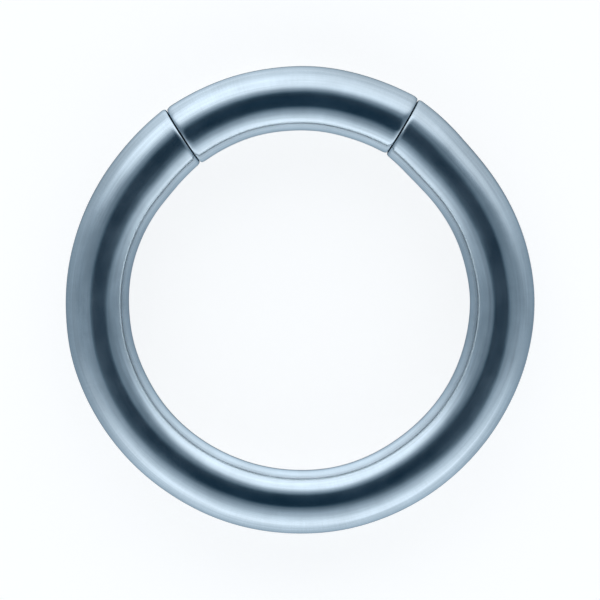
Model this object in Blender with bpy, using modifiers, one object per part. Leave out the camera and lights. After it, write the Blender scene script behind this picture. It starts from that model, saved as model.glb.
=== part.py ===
"""Segment ring: an open ring of round wire and the curved segment that closes it.

Units are metres, +Z is up. The ring lies on its side on z = 0, its axis is the
Z axis, and the segment is centred on +Y. Angles run from +X towards +Y.
"""

import math

import bmesh
import bpy
from mathutils import Matrix, Vector

MM = 0.001

# Driving sizes
WIRE_DIAMETER = 3.0 * MM
INNER_DIAMETER = 15.875 * MM
SEGMENT_SPAN = math.radians(65.5)
SEGMENT_MIDDLE = math.radians(90.0)
SEAM_GAP = 0.06 * MM
RIM_ROUNDING = 0.2 * MM

# The segment has a shallow dome on each end, which sits in a dimple of the ring.
DOME_SPHERE = 1.6 * MM
DOME_BASE = 0.75 * MM
DOME_CLEARANCE = 0.05 * MM

METAL_COLOUR = (0.58, 0.665, 0.73)
METAL_ROUGHNESS = 0.2

# The seam on the -X side was ground a little out of square to the wire.
TILTED_SEAM_TURN = math.radians(2.0)
TILTED_SEAM_REACH = math.radians(12.0)

# How far the wire's middle lies outside the true circle, after bending by hand.
# The ring runs from the seam at 123 degrees the long way round to the one at 417.
# Columns: angle in degrees, outward shift in millimetres.
RING_BEND = (
    (123, 0.000),
    (130, -0.060),
    (138, -0.102),
    (146, -0.083),
    (158, -0.045),
    (170, -0.011),
    (182, 0.004),
    (192, 0.033),
    (206, 0.015),
    (222, 0.007),
    (236, -0.012),
    (252, -0.006),
    (266, -0.003),
    (280, 0.020),
    (304, -0.010),
    (324, 0.000),
    (344, 0.012),
    (358, 0.014),
    (368, -0.040),
    (380, -0.110),
    (391, -0.190),
    (400, -0.230),
    (406, -0.187),
    (412, -0.095),
    (417, -0.012),
)
SEGMENT_BEND = (
    (56, 0.020),
    (70, 0.004),
    (82, 0.027),
    (94, 0.010),
    (104, 0.003),
    (112, -0.022),
    (124, -0.055),
)

# Facets
WIRE_SIDES = 28
RING_STEPS = 92
SEGMENT_STEPS = 21
DOME_RINGS = 3
RIM_SEGMENTS = 3

WIRE_RADIUS = WIRE_DIAMETER / 2
MIDDLE_RADIUS = (INNER_DIAMETER + WIRE_DIAMETER) / 2
RIGHT_SEAM = SEGMENT_MIDDLE - SEGMENT_SPAN / 2
LEFT_SEAM = SEGMENT_MIDDLE + SEGMENT_SPAN / 2
HALF_GAP_ANGLE = SEAM_GAP / 2 / MIDDLE_RADIUS
FULL_TURN = 2 * math.pi


def metal(name):
    """Make a polished metal material."""
    material = bpy.data.materials.new(name)
    material.use_nodes = True
    shader = material.node_tree.nodes["Principled BSDF"]
    shader.inputs["Base Color"].default_value = (*METAL_COLOUR, 1.0)
    shader.inputs["Metallic"].default_value = 1.0
    shader.inputs["Roughness"].default_value = METAL_ROUGHNESS
    return material


def bend_at(table, angle):
    """Read the outward shift at an angle off a smooth curve through the table."""
    degrees = math.degrees(angle)
    row = 0
    while row < len(table) - 2 and degrees > table[row + 1][0]:
        row += 1
    before, start, end, after = (
        table[max(row - 1, 0)],
        table[row],
        table[row + 1],
        table[min(row + 2, len(table) - 1)],
    )
    width = end[0] - start[0]
    slope_start = (end[1] - before[1]) / (end[0] - before[0]) * width
    slope_end = (after[1] - start[1]) / (after[0] - start[0]) * width
    part = min(max((degrees - start[0]) / width, 0.0), 1.0)
    rise = part * part * (3 - 2 * part)
    shift = start[1] + (end[1] - start[1]) * rise
    shift += slope_start * part * (1 - part) ** 2 - slope_end * part**2 * (1 - part)
    return shift * MM


def settle(bm, table, from_angle):
    """Bend the true arc as the table says, and turn the seam on the -X side."""
    for vert in bm.verts:
        reach = math.hypot(vert.co.x, vert.co.y)
        angle = math.atan2(vert.co.y, vert.co.x)
        while angle < from_angle:
            angle += FULL_TURN
        nearness = max(0.0, 1 - abs(angle - LEFT_SEAM) / TILTED_SEAM_REACH)
        turn = math.tan(TILTED_SEAM_TURN) * (1 - MIDDLE_RADIUS / reach) * nearness
        reach += bend_at(table, angle)
        vert.co.x = reach * math.cos(angle - turn)
        vert.co.y = reach * math.sin(angle - turn)


def ball_rings(sphere, face_distance):
    """List radius and height of rings on the cap that a face cuts off a sphere."""
    base_angle = math.acos(face_distance / sphere)
    rings = []
    for step in range(DOME_RINGS + 1):
        angle = base_angle * (1 - step / (DOME_RINGS + 0.5))
        rings.append((sphere * math.sin(angle), sphere * math.cos(angle) - face_distance))
    return rings


def shape_end(bm, cap, rings, direction):
    """Push an end face out (direction 1) or in (direction -1) through the rings."""
    middle = cap.calc_center_median()
    outward = cap.normal.copy()
    spokes = [(vert.co - middle).normalized() for vert in cap.verts]
    for radius, height in rings:
        cap = bmesh.ops.extrude_discrete_faces(bm, faces=[cap])["faces"][0]
        for vert, spoke in zip(cap.verts, spokes):
            vert.co = middle + spoke * radius + outward * height * direction


def wire_arc(name, start, end, steps, rings, direction, table, collection):
    """Sweep the wire's round section from one angle to another and finish its ends."""
    section = (
        Matrix.Rotation(start, 4, "Z")
        @ Matrix.Translation((MIDDLE_RADIUS, 0.0, WIRE_RADIUS))
        @ Matrix.Rotation(math.pi / 2, 4, "X")
        @ Matrix.Rotation(math.pi / WIRE_SIDES, 4, "Z")
    )
    bm = bmesh.new()
    bmesh.ops.create_circle(
        bm,
        cap_ends=True,
        radius=WIRE_RADIUS / math.cos(math.pi / WIRE_SIDES),
        segments=WIRE_SIDES,
        matrix=section,
    )
    bmesh.ops.spin(
        bm,
        geom=bm.verts[:] + bm.edges[:] + bm.faces[:],
        cent=Vector(),
        axis=Vector((0.0, 0.0, 1.0)),
        angle=end - start,
        steps=steps,
    )
    bmesh.ops.recalc_face_normals(bm, faces=bm.faces[:])
    for cap in [face for face in bm.faces if len(face.verts) == WIRE_SIDES]:
        shape_end(bm, cap, rings, direction)
    settle(bm, table, start - math.radians(5))

    mesh = bpy.data.meshes.new(name)
    bm.to_mesh(mesh)
    bm.free()
    mesh.shade_smooth()
    mesh.set_sharp_from_angle(angle=math.radians(35))
    piece = bpy.data.objects.new(name, mesh)
    collection.objects.link(piece)

    rim = piece.modifiers.new("rim", "BEVEL")
    rim.width = RIM_ROUNDING
    rim.segments = RIM_SEGMENTS
    rim.limit_method = "ANGLE"
    rim.angle_limit = math.radians(60)
    return piece


def main():
    for old in list(bpy.data.objects):
        bpy.data.objects.remove(old, do_unlink=True)
    collection = bpy.data.collections.new("segment_ring")
    bpy.context.scene.collection.children.link(collection)

    dome_distance = math.sqrt(DOME_SPHERE**2 - DOME_BASE**2)
    dome = ball_rings(DOME_SPHERE, dome_distance)
    dimple = ball_rings(DOME_SPHERE + DOME_CLEARANCE, dome_distance + SEAM_GAP)

    start = LEFT_SEAM + HALF_GAP_ANGLE
    end = RIGHT_SEAM - HALF_GAP_ANGLE + FULL_TURN
    ring = wire_arc("ring_body", start, end, RING_STEPS, dimple, -1, RING_BEND, collection)
    ring.data.materials.append(metal("polished_ring"))

    start = RIGHT_SEAM + HALF_GAP_ANGLE
    end = LEFT_SEAM - HALF_GAP_ANGLE
    segment = wire_arc("segment", start, end, SEGMENT_STEPS, dome, 1, SEGMENT_BEND, collection)
    segment.data.materials.append(metal("polished_segment"))


main()
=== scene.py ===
"""Looks of the segment ring: polished, cool-toned round wire with two fine seams.

Metres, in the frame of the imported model: the ring lies on z = 0, its axis is Z and
the segment is centred on +Y. Angles run from +X towards +Y.
"""

import math

import bmesh
import bpy
from mathutils import Matrix, Vector, noise


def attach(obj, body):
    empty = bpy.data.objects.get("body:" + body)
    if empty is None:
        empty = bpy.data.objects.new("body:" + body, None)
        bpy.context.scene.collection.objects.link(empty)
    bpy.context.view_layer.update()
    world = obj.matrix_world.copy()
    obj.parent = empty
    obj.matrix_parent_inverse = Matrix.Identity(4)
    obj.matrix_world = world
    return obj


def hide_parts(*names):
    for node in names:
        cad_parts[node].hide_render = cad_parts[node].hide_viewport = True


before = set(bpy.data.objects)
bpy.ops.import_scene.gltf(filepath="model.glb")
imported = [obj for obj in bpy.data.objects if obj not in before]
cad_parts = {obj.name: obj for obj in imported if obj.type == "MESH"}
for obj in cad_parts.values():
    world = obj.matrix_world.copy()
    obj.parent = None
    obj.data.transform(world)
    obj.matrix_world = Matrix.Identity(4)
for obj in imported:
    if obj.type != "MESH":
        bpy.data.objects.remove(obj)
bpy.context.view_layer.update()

MM = 0.001
FULL_TURN = 2 * math.pi

# The wire's sizes, the same as the solids'
WIRE_RADIUS = 1.5 * MM
MIDDLE_RADIUS = 9.4375 * MM
SEGMENT_SPAN = math.radians(65.5)
SEGMENT_MIDDLE = math.radians(90.0)
DOME_SPHERE = 1.6 * MM
DOME_BASE = 0.75 * MM
DOME_CLEARANCE = 0.05 * MM
TILTED_SEAM_TURN = math.radians(2.0)
TILTED_SEAM_REACH = math.radians(12.0)

# The seams are drawn a little tighter than the solids' gap, and the rims are
# polished down over a longer stretch of the wire than they are deep.
SEAM_GAP = 0.05 * MM
RIM_DEPTH = 0.09 * MM
RING_RIM_LENGTH = 0.20 * MM
SEGMENT_RIM_LENGTH = 0.28 * MM

# How far the wire's middle lies outside the true circle.
# Columns: angle in degrees, outward shift in millimetres.
RING_BEND = (
    (123, 0.000),
    (130, -0.060),
    (138, -0.102),
    (146, -0.083),
    (158, -0.045),
    (170, -0.011),
    (182, 0.004),
    (192, 0.033),
    (206, 0.015),
    (222, 0.007),
    (236, -0.012),
    (252, -0.006),
    (266, -0.003),
    (280, 0.020),
    (304, -0.010),
    (324, 0.000),
    (344, 0.012),
    (358, 0.014),
    (368, -0.040),
    (380, -0.110),
    (391, -0.190),
    (400, -0.230),
    (406, -0.187),
    (412, -0.095),
    (417, -0.012),
)
SEGMENT_BEND = (
    (56, 0.020),
    (70, 0.004),
    (82, 0.027),
    (94, 0.010),
    (104, 0.003),
    (112, -0.022),
    (124, -0.055),
)

# How the wire's thickness drifts round the ring.
# Columns: angle in degrees, added radius in millimetres.
THICKNESS = (
    (0, 0.010),
    (10, 0.009),
    (20, -0.008),
    (30, -0.017),
    (36, -0.015),
    (42, 0.002),
    (47, 0.022),
    (54, 0.012),
    (62, -0.006),
    (72, -0.002),
    (86, -0.003),
    (98, -0.015),
    (106, -0.012),
    (116, 0.002),
    (124, 0.018),
    (133, 0.024),
    (139, 0.022),
    (147, -0.004),
    (162, -0.030),
    (180, -0.022),
    (192, -0.004),
    (202, -0.004),
    (216, -0.020),
    (232, -0.022),
    (246, -0.006),
    (264, -0.010),
    (286, -0.013),
    (304, -0.002),
    (328, -0.016),
    (342, 0.003),
    (360, 0.010),
)

# Hand polishing leaves the wire very slightly uneven: at most this much thicker or
# thinner, over swells of this length along the wire and this width round it.
POLISH_DEPTH = 0.0045 * MM
POLISH_LENGTH = 3.2 * MM
POLISH_WIDTH = 1.3 * MM

# The fine mesh. Sections of the plain wire start a margin away from each end, and the
# rim's last steps take the darker end metal, painted shade that deepens the seams.
AROUND = 128
SECTION_STEP = math.radians(0.9)
RIM_STEPS = 12
SEAM_SHADE_RIM_STEPS = 2
DOME_STEPS = 8
END_MARGIN = 0.4 * MM

# Points up to this angle before a piece's start still count as near its start.
START_SLACK = math.radians(5.0)

# Names of what the mesh carries for its metal: a map of the skin, in millimetres along
# the wire and turns round it, and how much duller polish and painted shade each point has
SKIN_MAP = "along_wire"
DULL_AND_SHADE = "dull_and_shade_share"

# The photograph's frame: 600 pixels are 27.99 mm at the height of the wire's middle,
# and the camera leans a little from straight up towards +Y. It sees nothing outside
# its two clip distances.
FRAME_WIDTH = 27.99 * MM
FRAME_PIXELS = 600
CENTRE_PIXEL = (299.64, 300.75)
LENS = 400.0
SENSOR = 36.0
CLIP_DISTANCES = (0.01, 10.0)
CAMERA_TILT = math.radians(5.0)
CAMERA_ROLL = math.radians(-2.34)

# The metal: red, green and blue reflectance, and how much its fine grooves, which
# run round the wire, blur a reflection along it
METAL = (0.58, 0.665, 0.73)
EDGE_TINT = (0.745, 0.81, 0.85)
ROUGHNESS = 0.20
ANISOTROPY = 0.9

# The end faces, rough from grinding: their reflectance, kept dark as painted shade in the seams,
# their roughness, and fine lines across them, as how often these repeat in a metre along X,
# Y and Z and how deep their tone goes
END_AND_SEAM_SHADE_METAL = (0.34, 0.44, 0.51)
END_ROUGHNESS = 0.3
END_LINES = (350.0, 350.0, 11000.0)
END_LINE_DEPTH = 0.14

# Duller patches of the polish, which blur more and reflect less. The lower reflectance is
# partly painted shade, for the shadowed floor that the wire's outer side reflects.
# Columns: angle in degrees, half length in degrees, outer side 1 or inner side -1,
# share of the wire's radius where it starts to fade in, strength.
DULL_AND_SHADED_PATCHES = (
    (38, 17, 1, 0.38, 0.45),
    (56, 9, 1, 0.38, 0.25),
    (74, 14, 1, 0.38, 0.42),
    (86, 50, 1, 0.74, 0.60),
    (142, 16, 1, 0.68, 0.45),
    (200, 22, 1, 0.38, 0.10),
)
DULL_AND_SHADE_FADE = 0.25
# Reflectance lost in the patches, partly painted shade
DULL_AND_SHADE_LOSS = 0.42
DULL_ROUGHNESS = 0.10

# The inner wall, which a wheel reaches least, is rougher: from and to this share of
# the radius inwards, by this much
INNER_WALL = (-0.90, -0.68)
INNER_ROUGHNESS = 0.09

# Fine detail of the polish. Columns: length along the wire and width round it in mm.
CLOUDS = (1.6, 0.9)
LINES = (6.0, 0.13)
GROOVES = (0.05, 0.8)
NOISE_DETAIL = 2.0
CLOUD_DEPTH = 0.15
LINE_DEPTH = 0.15
GROOVE_DEPTH = 0.05
CLOUD_ROUGHNESS = 0.05
LINE_RELIEF = 0.00016
GROOVE_RELIEF = 0.0001

# How a screen shows light: its levels, and the offset and power of its curve
LEVELS = 255
SCREEN_OFFSET = 0.055
SCREEN_POWER = 2.4

# Cool cast of every tone in the photograph over its red level, for red, green and
# blue, and what the dark opening overhead has beyond that
CAST = (0.0, 19.5 / LEVELS, 35 / LEVELS)
OVERHEAD_CAST = (0.0, 0.044, 0.054)

# Soft studio tent, as red levels of the reflection in the metal.
# Columns: angle from the camera's axis in degrees, level from 0 to 255.
OVERHEAD_LEVEL = 2
SIDE_TONES = (
    (24, 76), (36, 86), (48, 93), (60, 100), (72, 104), (84, 115), (96, 121), (108, 122),
    (132, 124), (150, 122), (165, 118), (180, 110),
)
FRONT_TONES = (
    (24, 66), (30, 82), (36, 99), (42, 117), (48, 135), (54, 151), (60, 166), (66, 182),
    (72, 197), (80, 214), (90, 224), (98, 208), (106, 186), (118, 182), (138, 166), (155, 150),
    (168, 130), (180, 115),
)
BACK_TONES = (
    (24, 80), (30, 105), (36, 142), (42, 184), (48, 212), (54, 223), (72, 224), (90, 214),
    (98, 205), (106, 202), (116, 213), (130, 219), (150, 192), (165, 150), (180, 115),
)

# The dark opening overhead, as the tangent of its half width along X and Y: square in
# front and round behind. Its edge is soft, between two shares of that width, and its
# corners are drawn out, more so on the right.
OPENING_WIDE = 0.45
OPENING_DEEP = 0.414
OPENING_BEHIND = 0.43
OPENING_EDGE = (0.78, 1.36)
CORNER_PULL_LEFT = 0.14
CORNER_PULL_RIGHT = 0.34

# Angles off the X axis between which the side walls turn into the front and back ones,
# on the left and on the right. Low down, the back's corners are wider, and they get so
# between two angles from the camera's axis.
FRONT_CORNERS = ((11, 57), (5, 56))
BACK_CORNERS = ((11, 42), (-7, 50))
LOW_BACK_CORNERS = ((3, 62), (-10, 66))
LOW_ANGLES = (78, 103)

# How much of a direction's sideways part counts in its angle at the back wall
BACK_LEFT_REACH = 0.7
BACK_RIGHT_REACH = 0.2

# The tent's upper half is a near dome, closest in front, on -Y, and behind on the left.
# Columns: direction in degrees, distance in millimetres.
DOME_DISTANCES = (
    (0, 165), (12, 180), (45, 180), (90, 165), (116, 175), (134, 88), (150, 75),
    (164, 110), (182, 260), (196, 200), (212, 100), (240, 80), (270, 74), (298, 95),
    (318, 80), (332, 84), (346, 100), (360, 165),
)

# Straight overhead it is one distance away, which blends into the table's over the
# inner share of its radius, as seen from above. It is a sphere of radius 1 at first,
# cut off just below the middle.
DOME_TOP = 110 * MM
DOME_BLEND = 0.4
DOME_CUT = -0.001
DOME_SECTORS = 96
DOME_TIERS = 48

# What the far wire shows of the tent in a reflection that has crossed the hole: share,
# brightness from the sides and from the front and back, and the two sizes of a
# direction's Y part between which the one turns into the other
SECOND_SHARE = 0.85
SECOND_SIDE = (0.36, 0.38, 0.40)
SECOND_FRONT = (2.7, 2.45, 2.25)
SECOND_TURN = (0.05, 0.36)

# The soft shadow on the floor, which only the reflections show: how far its sheet
# reaches from the centre each way, the tone under the wire, which fades out between two
# distances from the wire's middle line, and the tone in the middle of the hole, which
# fades out between two radii
SHADOW_HEIGHT = -0.01 * MM
SHADOW_REACH = 2 * MIDDLE_RADIUS
SHADOW_FADE = (1.2 * MM, 2.3 * MM)
SHADOW_TONE = 0.10
HOLE_FADE = (1.5 * MM, 4.5 * MM)
HOLE_TONE = 0.84

# The shadow on the far side of the hole is longer. A short upright band in the middle,
# clear from outside, dims what the metal shows through it: its radius, the heights
# between which it darkens and clears again, and how much it takes away.
BAND_RADIUS = 2.2 * MM
BAND_HEIGHT = 3.2 * MM
BAND_DARKENS = (0.0 * MM, 0.4 * MM)
BAND_CLEARS = (0.8 * MM, 1.5 * MM)
BAND_DEPTH = 0.43

# The floor's reach from the centre in metres, its own glow and its tone, and the
# brightness of what the camera sees beyond it
FLOOR_REACH = 1.5
FLOOR_GLOW = 0.80
FLOOR_TONE = 0.45
BACKDROP = 0.9


def length_at(table, angle):
    """Read a length at an angle off a smooth curve through a table in degrees and mm."""
    degrees = math.degrees(angle)
    row = 0
    while row < len(table) - 2 and degrees > table[row + 1][0]:
        row += 1
    before, start, end, after = (
        table[max(row - 1, 0)],
        table[row],
        table[row + 1],
        table[min(row + 2, len(table) - 1)],
    )
    width = end[0] - start[0]
    slope_start = (end[1] - before[1]) / (end[0] - before[0]) * width
    slope_end = (after[1] - start[1]) / (after[0] - start[0]) * width
    part = min(max((degrees - start[0]) / width, 0.0), 1.0)
    rise = part * part * (3 - 2 * part)
    length = start[1] + (end[1] - start[1]) * rise
    length += slope_start * part * (1 - part) ** 2 - slope_end * part**2 * (1 - part)
    return length * MM


def settle(point, table, from_angle):
    """Move a point of the true arc to where the bent wire has it."""
    reach = math.hypot(point.x, point.y)
    angle = math.atan2(point.y, point.x)
    while angle < from_angle:
        angle += FULL_TURN
    left_seam = SEGMENT_MIDDLE + SEGMENT_SPAN / 2
    nearness = max(0.0, 1 - abs(angle - left_seam) / TILTED_SEAM_REACH)
    turn = math.tan(TILTED_SEAM_TURN) * (1 - MIDDLE_RADIUS / reach) * nearness
    reach += length_at(table, angle)
    return Vector((reach * math.cos(angle - turn), reach * math.sin(angle - turn), point.z))


def added_radius(angle, around):
    """How much thicker the wire is at a place than its nominal size."""
    place = Vector((
        angle * MIDDLE_RADIUS / POLISH_LENGTH,
        math.cos(around) * WIRE_RADIUS / POLISH_WIDTH,
        math.sin(around) * WIRE_RADIUS / POLISH_WIDTH,
    ))
    return length_at(THICKNESS, angle % FULL_TURN) - POLISH_DEPTH * noise.noise(place)


def dull_and_shade_share(angle, around):
    """How much duller polish and painted shade a place has, from 0 to 1."""
    total = 0.0
    for middle, half_length, side, inset, strength in DULL_AND_SHADED_PATCHES:
        away = (math.degrees(angle) - middle + 180) % 360 - 180
        along = math.exp(-((away / half_length) ** 2))
        across = min(max((side * math.cos(around) - inset) / DULL_AND_SHADE_FADE, 0.0), 1.0)
        total += strength * along * across * across * (3 - 2 * across)
    return min(total, 1.0)


def end_profile(rim_length, sphere, face_distance, direction):
    """Rings from a rim's start to the middle of an end, and the push of that middle.

    A ring is its radius, its push along the wire and whether it takes the darker end metal.
    """
    rings = []
    for step in range(RIM_STEPS + 1):
        turn = math.pi / 2 * step / RIM_STEPS
        radius = WIRE_RADIUS - RIM_DEPTH * (1 - math.cos(turn))
        push = -rim_length * (1 - math.sin(turn))
        # The rim's last steps take the darker end metal: painted shade in the seam.
        rings.append((radius, push, step >= RIM_STEPS - SEAM_SHADE_RIM_STEPS))
    base_angle = math.acos(face_distance / sphere)
    for step in range(DOME_STEPS):
        turn = base_angle * (1 - step / DOME_STEPS)
        push = direction * (sphere * math.cos(turn) - face_distance)
        rings.append((sphere * math.sin(turn), push, True))
    return rings, direction * (sphere - face_distance)


def wire_sections(start, end, rings):
    """Cross sections from one end to the other: angle, push, radius and whether they take the
    darker end metal.
    """
    margin = END_MARGIN / MIDDLE_RADIUS
    length = end - start - 2 * margin
    steps = round(length / SECTION_STEP)
    first_end = [(start, -push, radius, ground_or_shaded) for radius, push, ground_or_shaded in reversed(rings)]
    tube = [
        (start + margin + length * step / steps, 0.0, WIRE_RADIUS, False)
        for step in range(steps + 1)
    ]
    last_end = [(end, push, radius, ground_or_shaded) for radius, push, ground_or_shaded in rings]
    return first_end + tube + last_end


def wire_point(angle, push, sideways, height):
    """A point off the wire's true middle line: along the wire, outwards and up."""
    outward = Vector((math.cos(angle), math.sin(angle), 0.0))
    along = Vector((-outward.y, outward.x, 0.0))
    point = outward * (MIDDLE_RADIUS + sideways) + along * push
    point.z = WIRE_RADIUS + height
    return point


def wire_points(sections, tip, table):
    """Points round every section, then the middles of both ends, and each one's share of duller
    polish and painted shade.
    """
    start = sections[0][0]
    end = sections[-1][0]
    points = []
    dull_and_shaded_spots = []
    for angle, push, radius, _ in sections:
        place = angle + push / MIDDLE_RADIUS
        for spoke in range(AROUND):
            around = FULL_TURN * spoke / AROUND
            spread = radius + added_radius(place, around) * radius / WIRE_RADIUS
            sideways = spread * math.cos(around)
            height = spread * math.sin(around)
            points.append(wire_point(angle, push, sideways, height))
            dull_and_shaded_spots.append(dull_and_shade_share(place, around))
    for angle, push in ((start, -tip), (end, tip)):
        points.append(wire_point(angle, push, 0.0, 0.0))
        dull_and_shaded_spots.append(0.0)
    return [settle(point, table, start - START_SLACK) for point in points], dull_and_shaded_spots


def wire_faces(sections):
    """Faces between the sections and over both ends, their map and which take the darker end
    metal.
    """
    lengths = [(angle * MIDDLE_RADIUS + push) / MM for angle, push, _, _ in sections]
    faces = []
    coords = []
    ground_or_shaded = []
    for row in range(len(sections) - 1):
        low, high = row * AROUND, (row + 1) * AROUND
        near, far = lengths[row], lengths[row + 1]
        for spoke in range(AROUND):
            following = (spoke + 1) % AROUND
            left, right = spoke / AROUND, (spoke + 1) / AROUND
            faces.append((low + spoke, low + following, high + following, high + spoke))
            coords += [(near, left), (near, right), (far, right), (far, left)]
            ground_or_shaded.append(sections[row][3] and sections[row + 1][3])
    last_row = (len(sections) - 1) * AROUND
    first_middle = len(sections) * AROUND
    for spoke in range(AROUND):
        following = (spoke + 1) % AROUND
        faces.append((following, spoke, first_middle))
        faces.append((last_row + spoke, last_row + following, first_middle + 1))
        coords += [(0.0, 0.0)] * 6
        ground_or_shaded += [True, True]
    return faces, coords, ground_or_shaded


def add_object(name, data):
    """Put a mesh or a camera into the scene."""
    piece = bpy.data.objects.new(name, data)
    bpy.context.scene.collection.objects.link(piece)
    return piece


def wire_piece(name, start, end, profile, table, metals):
    """Sweep the round wire between two angles and finish both ends by the profile."""
    rings, tip = profile
    sections = wire_sections(start, end, rings)
    points, dull_and_shaded_spots = wire_points(sections, tip, table)
    faces, coords, ground_or_shaded = wire_faces(sections)
    mesh = bpy.data.meshes.new(name)
    mesh.from_pydata(points, [], faces)
    skin_map = mesh.uv_layers.new(name=SKIN_MAP)
    skin_map.data.foreach_set("uv", [value for coord in coords for value in coord])
    mesh.attributes.new(DULL_AND_SHADE, "FLOAT", "POINT").data.foreach_set("value", dull_and_shaded_spots)
    for metal in metals:
        mesh.materials.append(metal)
    mesh.polygons.foreach_set("material_index", [int(flag) for flag in ground_or_shaded])
    mesh.shade_smooth()
    mesh.update()
    return add_object(name, mesh)


class Nodes:
    """Short calls for making and linking shader nodes. Most return an output socket."""

    def __init__(self, tree):
        self.tree = tree

    def add(self, kind, **settings):
        """A new node with these settings."""
        node = self.tree.nodes.new(kind)
        for key, value in settings.items():
            setattr(node, key, value)
        return node

    def feed(self, socket, value):
        """Link a socket to another one, or set it to a plain value."""
        if isinstance(value, bpy.types.NodeSocket):
            self.tree.links.new(value, socket)
        else:
            socket.default_value = value

    def math(self, operation, first, *others):
        """A number worked out from one or two others, or from more, two at a time."""
        node = self.add("ShaderNodeMath", operation=operation)
        self.feed(node.inputs[0], first)
        if others:
            self.feed(node.inputs[1], others[0])
        result = node.outputs[0]
        for value in others[1:]:
            result = self.math(operation, result, value)
        return result

    def span(self, value, low, high, to_low=0.0, to_high=1.0, smooth=True):
        """A number from to_low to to_high, as a value goes from low to high."""
        kind = "SMOOTHSTEP" if smooth else "LINEAR"
        node = self.add("ShaderNodeMapRange", interpolation_type=kind)
        for socket, number in zip(node.inputs, (value, low, high, to_low, to_high)):
            self.feed(socket, number)
        return node.outputs[0]

    def mix(self, share, first, second):
        """The first number at share 0 and the second at share 1."""
        node = self.add("ShaderNodeMix", data_type="FLOAT")
        self.feed(node.inputs[0], share)
        self.feed(node.inputs[2], first)
        self.feed(node.inputs[3], second)
        return node.outputs[0]

    def mix_colours(self, share, first, second):
        """The first colour at share 0 and the second at share 1."""
        node = self.add("ShaderNodeMix", data_type="RGBA")
        self.feed(node.inputs[0], share)
        self.feed(node.inputs[6], first)
        self.feed(node.inputs[7], second)
        return node.outputs[2]

    def brighten(self, colour, change):
        """A colour made brighter by a share of itself."""
        node = self.add("ShaderNodeVectorMath", operation="SCALE")
        self.feed(node.inputs[0], colour)
        self.feed(node.inputs["Scale"], self.math("ADD", 1.0, change))
        return node.outputs[0]

    def join(self, x, y, z=0.0):
        """A vector of these parts."""
        node = self.add("ShaderNodeCombineXYZ")
        for socket, part in zip(node.inputs, (x, y, z)):
            self.feed(socket, part)
        return node.outputs[0]

    def split(self, vector):
        """The X, Y and Z parts of a vector."""
        node = self.add("ShaderNodeSeparateXYZ")
        self.feed(node.inputs[0], vector)
        return node.outputs

    def split_direction(self, vector):
        """The X, Y and Z parts of a vector brought to unit length."""
        node = self.add("ShaderNodeVectorMath", operation="NORMALIZE")
        self.feed(node.inputs[0], vector)
        return self.split(node.outputs[0])

    def length(self, vector):
        """The length of a vector."""
        node = self.add("ShaderNodeVectorMath", operation="LENGTH")
        self.feed(node.inputs[0], vector)
        return node.outputs["Value"]

    def turned(self, vector, axis, angle):
        """A vector turned round an axis."""
        node = self.add("ShaderNodeVectorRotate", rotation_type=axis)
        self.feed(node.inputs["Vector"], vector)
        self.feed(node.inputs["Angle"], angle)
        return node.outputs[0]

    def noise(self, place):
        """Noise whose swells are about 1 long."""
        node = self.add("ShaderNodeTexNoise")
        self.feed(node.inputs["Vector"], place)
        self.feed(node.inputs["Scale"], 1.0)
        self.feed(node.inputs["Detail"], NOISE_DETAIL)
        return node.outputs["Fac"]

    def skin(self):
        """A place on the wire: millimetres along it and the angle round it."""
        skin_map = self.add("ShaderNodeUVMap", uv_map=SKIN_MAP)
        along, turns, _ = self.split(skin_map.outputs[0])
        return along, self.math("MULTIPLY", turns, FULL_TURN)

    def skin_noise(self, grain):
        """Noise over the wire's skin, of a grain's length and width in millimetres."""
        length, width = grain
        along, around = self.skin()
        size = WIRE_RADIUS / MM / width
        outward = self.math("MULTIPLY", self.math("COSINE", around), size)
        upward = self.math("MULTIPLY", self.math("SINE", around), size)
        return self.noise(self.join(self.math("DIVIDE", along, length), outward, upward))

    def vary(self, value, depth):
        """A noise as a plus or minus change of a depth."""
        return self.math("MULTIPLY", self.math("SUBTRACT", value, 0.5), 2 * depth)

    def curve(self, angle, tones):
        """A level from 0 to 1 at an angle, off a table in degrees and levels."""
        node = self.add("ShaderNodeValToRGB")
        elements = node.color_ramp.elements
        while len(elements) < len(tones):
            elements.new(1.0)
        for element, (degrees, level) in zip(elements, tones):
            element.position = degrees / 180
            element.color = (level / LEVELS,) * 3 + (1.0,)
        self.feed(node.inputs[0], self.math("DIVIDE", angle, math.pi))
        return node.outputs[0]


def new_metal(name):
    """A metal with the common edge tint, its nodes and its shader's sockets."""
    material = bpy.data.materials.new(name)
    material.use_nodes = True
    sockets = material.node_tree.nodes["Principled BSDF"].inputs
    sockets["Metallic"].default_value = 1.0
    sockets["Specular Tint"].default_value = (*EDGE_TINT, 1.0)
    return material, Nodes(material.node_tree), sockets


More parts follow.
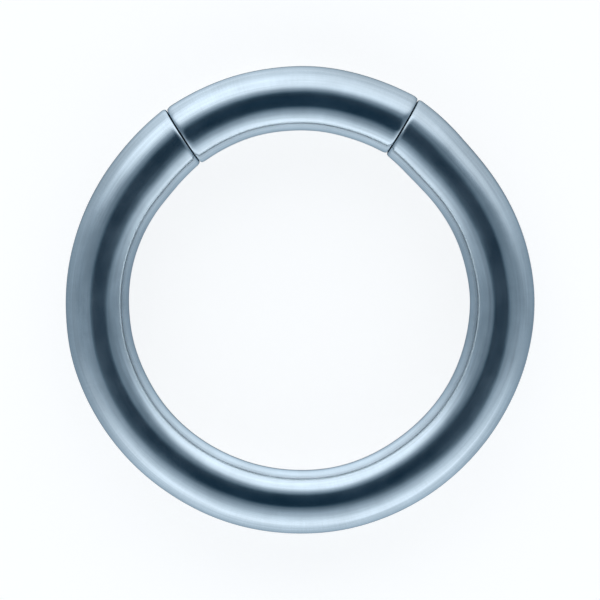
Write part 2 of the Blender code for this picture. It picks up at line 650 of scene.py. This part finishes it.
def wire_metal():
    """Polished metal with fine grooves round the wire and faint lines along it."""
    material, nodes, sockets = new_metal("polished_wire")
    sockets["Anisotropic"].default_value = ANISOTROPY
    tangent = nodes.add("ShaderNodeTangent", direction_type="UV_MAP", uv_map=SKIN_MAP)
    nodes.feed(sockets["Tangent"], tangent.outputs[0])

    clouds = nodes.skin_noise(CLOUDS)
    lines = nodes.skin_noise(LINES)
    grooves = nodes.skin_noise(GROOVES)
    spots = nodes.add("ShaderNodeAttribute", attribute_type="GEOMETRY", attribute_name=DULL_AND_SHADE)
    dull_and_shaded = spots.outputs["Fac"]
    # Painted shade: the patches' darker metal partly stands in for the shadowed floor reflected
    # on the outer side.
    dull_and_shaded_metal = (part * (1 - DULL_AND_SHADE_LOSS) for part in METAL)
    tint = nodes.mix_colours(dull_and_shaded, (*METAL, 1.0), (*dull_and_shaded_metal, 1.0))
    change = nodes.math(
        "ADD",
        nodes.vary(clouds, CLOUD_DEPTH),
        nodes.vary(lines, LINE_DEPTH),
        nodes.vary(grooves, GROOVE_DEPTH),
    )
    nodes.feed(sockets["Base Color"], nodes.brighten(tint, change))

    _, around = nodes.skin()
    outward = nodes.math("COSINE", around)
    roughness = nodes.math(
        "ADD",
        nodes.mix(dull_and_shaded, ROUGHNESS, ROUGHNESS + DULL_ROUGHNESS),
        nodes.vary(clouds, CLOUD_ROUGHNESS),
        nodes.span(outward, *INNER_WALL, INNER_ROUGHNESS, 0.0),
    )
    nodes.feed(sockets["Roughness"], roughness)

    line_relief = nodes.math("MULTIPLY", lines, LINE_RELIEF)
    groove_relief = nodes.math("MULTIPLY", grooves, GROOVE_RELIEF)
    bump = nodes.add("ShaderNodeBump")
    nodes.feed(bump.inputs["Height"], nodes.math("ADD", line_relief, groove_relief))
    nodes.feed(bump.inputs["Strength"], 1.0)
    nodes.feed(bump.inputs["Distance"], MM)
    nodes.feed(sockets["Normal"], bump.outputs[0])
    return material


def end_and_seam_shade_metal():
    """Darker metal, rough from grinding and lightly polished, of the end faces, which show only
    when the ring is open, and of the rims' last steps: painted shade that deepens the seams.
    """
    material, nodes, sockets = new_metal("end_face_seam_shade")
    place = nodes.add("ShaderNodeVectorMath", operation="MULTIPLY")
    nodes.feed(place.inputs[0], nodes.add("ShaderNodeTexCoord").outputs["Object"])
    nodes.feed(place.inputs[1], END_LINES)
    change = nodes.vary(nodes.noise(place.outputs[0]), END_LINE_DEPTH)
    nodes.feed(sockets["Base Color"], nodes.brighten(END_AND_SEAM_SHADE_METAL, change))
    nodes.feed(sockets["Roughness"], nodes.math("ADD", END_ROUGHNESS, change))
    return material


def make_ring():
    """The ring and the segment, each in place of its solid."""
    half_gap = SEAM_GAP / 2 / MIDDLE_RADIUS
    right_seam = SEGMENT_MIDDLE - SEGMENT_SPAN / 2
    left_seam = SEGMENT_MIDDLE + SEGMENT_SPAN / 2
    face_distance = math.sqrt(DOME_SPHERE**2 - DOME_BASE**2)
    # The second metal is darker: painted shade in the seams.
    metals = (wire_metal(), end_and_seam_shade_metal())

    dimple_sphere = DOME_SPHERE + DOME_CLEARANCE
    dimple = end_profile(RING_RIM_LENGTH, dimple_sphere, face_distance + SEAM_GAP, -1)
    start = left_seam + half_gap
    end = right_seam - half_gap + FULL_TURN
    ring = wire_piece("polished_ring", start, end, dimple, RING_BEND, metals)

    dome = end_profile(SEGMENT_RIM_LENGTH, DOME_SPHERE, face_distance, 1)
    start = right_seam + half_gap
    end = left_seam - half_gap
    segment = wire_piece("polished_segment", start, end, dome, SEGMENT_BEND, metals)

    for piece, body, node in ((ring, "ring", "ring_body"), (segment, "segment", "segment")):
        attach(piece, body)
        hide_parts(node)


def corner_share(nodes, x, y, corners):
    """How far a direction has turned from the side wall to the next one, from 0 to 1."""
    off_side = nodes.math("ARCTAN2", nodes.math("ABSOLUTE", y), nodes.math("ABSOLUTE", x))
    left, right = (nodes.span(off_side, *map(math.radians, corner)) for corner in corners)
    return nodes.mix(nodes.math("GREATER_THAN", x, 0.0), left, right)


def tent_walls(nodes, x, y, z):
    """Red level of the tent's walls in a direction, from 0 to 1."""
    from_top = nodes.math("ARCCOSINE", z)
    side = nodes.curve(from_top, SIDE_TONES)
    front = nodes.curve(from_top, FRONT_TONES)
    on_right = nodes.math("GREATER_THAN", x, 0.0)
    sideways = nodes.math("MULTIPLY", x, nodes.mix(on_right, BACK_LEFT_REACH, BACK_RIGHT_REACH))
    rearward = nodes.length(nodes.join(sideways, y))
    back = nodes.curve(nodes.math("ARCTAN2", rearward, z), BACK_TONES)

    at_front = corner_share(nodes, x, y, FRONT_CORNERS)
    high_at_back = corner_share(nodes, x, y, BACK_CORNERS)
    low_at_back = corner_share(nodes, x, y, LOW_BACK_CORNERS)
    low = nodes.span(from_top, *map(math.radians, LOW_ANGLES))
    at_back = nodes.mix(low, high_at_back, low_at_back)
    front_walls = nodes.mix(at_front, side, front)
    back_walls = nodes.mix(at_back, side, back)
    return nodes.mix(nodes.math("GREATER_THAN", y, 0.0), front_walls, back_walls)


def tent_opening(nodes, x, y, z):
    """How much of the dark opening overhead a direction shows, from 0 to 1."""
    x_size = nodes.math("ABSOLUTE", x)
    y_size = nodes.math("ABSOLUTE", y)
    wide = nodes.math("DIVIDE", x_size, OPENING_WIDE)
    deep = nodes.math("DIVIDE", y_size, OPENING_DEEP)
    # The sine of twice the angle round the axis is 1 at a corner, 0 in a side's middle.
    level_part = nodes.math("SUBTRACT", 1.0, nodes.math("MULTIPLY", z, z))
    corner = nodes.math("DIVIDE", nodes.math("MULTIPLY", x_size, y_size, 2.0), level_part)
    on_right = nodes.math("GREATER_THAN", x, 0.0)
    pull = nodes.mix(on_right, CORNER_PULL_LEFT, CORNER_PULL_RIGHT)
    drawn_out = nodes.math("SUBTRACT", 1.0, nodes.math("MULTIPLY", corner, corner, pull))
    square = nodes.math("MULTIPLY", nodes.math("MAXIMUM", wide, deep), drawn_out)

    circle = nodes.math("DIVIDE", nodes.math("SINE", nodes.math("ARCCOSINE", z)), OPENING_BEHIND)
    away = nodes.mix(nodes.math("GREATER_THAN", y, 0.0), square, circle)
    from_middle = nodes.math("ARCTAN2", away, z)
    return nodes.span(from_middle, *map(math.atan, OPENING_EDGE), 1.0, 0.0)


def tent_colour(nodes, direction):
    """Colour of the tent in a direction, which need not have unit length."""
    upright = nodes.turned(direction, "X_AXIS", CAMERA_TILT)
    x, y, z = nodes.split_direction(nodes.turned(upright, "Z_AXIS", -CAMERA_ROLL))
    opening = tent_opening(nodes, x, y, z)
    level = nodes.mix(opening, tent_walls(nodes, x, y, z), OVERHEAD_LEVEL / LEVELS)
    colour = nodes.add("ShaderNodeCombineColor")
    for socket, cast, overhead, reflectance in zip(colour.inputs, CAST, OVERHEAD_CAST, METAL):
        shown = nodes.math("ADD", level, nodes.mix(opening, cast, cast + overhead))
        shown = nodes.math("DIVIDE", nodes.math("ADD", shown, SCREEN_OFFSET), 1 + SCREEN_OFFSET)
        light = nodes.math("POWER", shown, SCREEN_POWER)
        nodes.feed(socket, nodes.math("DIVIDE", light, reflectance))
    return colour.outputs[0]


def camera_turn():
    """How the camera and the tent round it lean and turn from straight up."""
    return Matrix.Rotation(-CAMERA_TILT, 3, "X") @ Matrix.Rotation(CAMERA_ROLL, 3, "Z")


def make_tent():
    """The studio round the ring, as light from every direction."""
    world = bpy.data.worlds.new("tent")
    bpy.context.scene.world = world
    world.use_nodes = True
    nodes = Nodes(world.node_tree)
    background = world.node_tree.nodes["Background"]
    output = world.node_tree.nodes["World Output"]
    direction = nodes.add("ShaderNodeTexCoord").outputs["Generated"]
    nodes.feed(background.inputs["Color"], tent_colour(nodes, direction))

    plain = nodes.add("ShaderNodeBackground")
    plain.inputs["Color"].default_value = (BACKDROP, BACKDROP, BACKDROP, 1.0)
    choice = nodes.add("ShaderNodeMixShader")
    nodes.feed(choice.inputs[0], nodes.add("ShaderNodeLightPath").outputs["Is Camera Ray"])
    nodes.feed(choice.inputs[1], background.outputs[0])
    nodes.feed(choice.inputs[2], plain.outputs[0])
    nodes.feed(output.inputs["Surface"], choice.outputs[0])


def flat_sheet(name, half, height):
    """A level square, centred on the Z axis."""
    corners = [(-half, -half), (half, -half), (half, half), (-half, half)]
    mesh = bpy.data.meshes.new(name)
    mesh.from_pydata([(x, y, height) for x, y in corners], [], [(0, 1, 2, 3)])
    return add_object(name, mesh)


def make_floor():
    """A pale, softly lit table top, which the metal doesn't show."""
    floor = flat_sheet("floor", FLOOR_REACH, 0.0)
    material = bpy.data.materials.new("pale_floor")
    material.use_nodes = True
    sockets = material.node_tree.nodes["Principled BSDF"].inputs
    sockets["Base Color"].default_value = (FLOOR_TONE, FLOOR_TONE, FLOOR_TONE, 1.0)
    sockets["Roughness"].default_value = 1.0
    sockets["Specular IOR Level"].default_value = 0.0
    sockets["Emission Color"].default_value = (1.0, 1.0, 1.0, 1.0)
    sockets["Emission Strength"].default_value = FLOOR_GLOW
    floor.data.materials.append(material)
    floor.visible_glossy = False


def place_shape(name, shape):
    """Put a built-up shape into the scene."""
    mesh = bpy.data.meshes.new(name)
    shape.to_mesh(mesh)
    shape.free()
    return add_object(name, mesh)


def stage_shader(piece, kind):
    """Give a stage piece a bare shader. Returns its nodes and its colour's socket."""
    material = bpy.data.materials.new(piece.name)
    material.use_nodes = True
    tree = material.node_tree
    tree.nodes.remove(tree.nodes["Principled BSDF"])
    nodes = Nodes(tree)
    shader = nodes.add(kind)
    nodes.feed(tree.nodes["Material Output"].inputs["Surface"], shader.outputs[0])
    piece.data.materials.append(material)
    return nodes, shader.inputs["Color"]


def reflected_only(piece):
    """Keep a stage piece out of every ray but the metal's reflections."""
    piece.visible_camera = False
    piece.visible_diffuse = False
    piece.visible_transmission = False
    piece.visible_volume_scatter = False
    piece.visible_shadow = False


def crossed_hole(nodes):
    """1 in a second reflection that has come through the hole's band, or else 0."""
    # Both depths are whole numbers, so a half parts them.
    path = nodes.add("ShaderNodeLightPath")
    twice = nodes.math("GREATER_THAN", path.outputs["Ray Depth"], 1.5)
    crossed = nodes.math("GREATER_THAN", path.outputs["Transparent Depth"], 0.5)
    return nodes.math("MULTIPLY", twice, crossed)


def make_dome():
    """The tent's upper half, whose place on the metal shifts a little along the ring."""
    shape = bmesh.new()
    bmesh.ops.create_uvsphere(shape, u_segments=DOME_SECTORS, v_segments=DOME_TIERS, radius=1.0)
    below = [vert for vert in shape.verts if vert.co.z < DOME_CUT]
    bmesh.ops.delete(shape, geom=below, context="VERTS")
    for vert in shape.verts:
        direction = math.atan2(vert.co.y, vert.co.x) % FULL_TURN
        share = min(math.hypot(vert.co.x, vert.co.y) / DOME_BLEND, 1.0)
        vert.co *= DOME_TOP + (length_at(DOME_DISTANCES, direction) - DOME_TOP) * share
    bmesh.ops.rotate(shape, verts=shape.verts, matrix=camera_turn())
    dome = place_shape("tent_dome", shape)

    nodes, colour = stage_shader(dome, "ShaderNodeEmission")
    position = nodes.add("ShaderNodeNewGeometry").outputs["Position"]
    _, y, _ = nodes.split_direction(position)
    ahead = nodes.span(nodes.math("ABSOLUTE", y), *SECOND_TURN)
    far_wire = nodes.mix_colours(ahead, (*SECOND_SIDE, 1.0), (*SECOND_FRONT, 1.0))
    share = nodes.math("MULTIPLY", crossed_hole(nodes), SECOND_SHARE)
    nodes.feed(colour, nodes.mix_colours(share, tent_colour(nodes, position), far_wire))
    reflected_only(dome)


def make_wire_shadow():
    """The shadow on the floor, which dims what the metal shows below it."""
    shadow = flat_sheet("wire_shadow", SHADOW_REACH, SHADOW_HEIGHT)
    nodes, colour = stage_shader(shadow, "ShaderNodeBsdfTransparent")
    from_centre = nodes.length(nodes.add("ShaderNodeNewGeometry").outputs["Position"])
    from_wire = nodes.math("ABSOLUTE", nodes.math("SUBTRACT", from_centre, MIDDLE_RADIUS))
    under_wire = nodes.span(from_wire, *SHADOW_FADE, SHADOW_TONE, 1.0)
    in_hole = nodes.span(from_centre, *HOLE_FADE, HOLE_TONE, 1.0)
    nodes.feed(colour, nodes.math("MULTIPLY", under_wire, in_hole))
    reflected_only(shadow)


def make_hole_shade():
    """A short upright band in the hole, which dims what is seen through it from inside."""
    shape = bmesh.new()
    bmesh.ops.create_cone(
        shape,
        cap_ends=False,
        segments=AROUND,
        radius1=BAND_RADIUS,
        radius2=BAND_RADIUS,
        depth=BAND_HEIGHT,
        matrix=Matrix.Translation((0.0, 0.0, BAND_HEIGHT / 2)),
    )
    band = place_shape("hole_shade", shape)
    nodes, colour = stage_shader(band, "ShaderNodeBsdfTransparent")
    place = nodes.add("ShaderNodeNewGeometry")
    _, _, height = nodes.split(place.outputs["Position"])
    dark = nodes.math(
        "MULTIPLY",
        nodes.span(height, *BAND_DARKENS),
        nodes.span(height, *BAND_CLEARS, 1.0, 0.0),
        place.outputs["Backfacing"],
    )
    nodes.feed(colour, nodes.span(dark, 0.0, 1.0, 1.0, 1.0 - BAND_DEPTH, smooth=False))
    reflected_only(band)


def make_camera():
    """Nearly straight above the ring, with the photograph's framing."""
    camera_data = bpy.data.cameras.new("camera")
    camera_data.lens = LENS
    camera_data.sensor_width = SENSOR
    camera_data.clip_start, camera_data.clip_end = CLIP_DISTANCES
    camera = add_object("camera", camera_data)
    bpy.context.scene.camera = camera
    pixel = FRAME_WIDTH / FRAME_PIXELS
    right = (FRAME_PIXELS / 2 - CENTRE_PIXEL[0]) * pixel
    up = (CENTRE_PIXEL[1] - FRAME_PIXELS / 2) * pixel
    distance = FRAME_WIDTH * LENS / SENSOR
    turn = camera_turn()
    camera.rotation_euler = turn.to_euler()
    camera.location = Vector((0.0, 0.0, WIRE_RADIUS)) + turn @ Vector((right, up, distance))


scene = bpy.context.scene
scene.view_settings.view_transform = "Standard"
scene.view_settings.look = "None"

make_ring()
make_tent()
make_floor()
make_dome()
make_wire_shadow()
make_hole_shade()
make_camera()
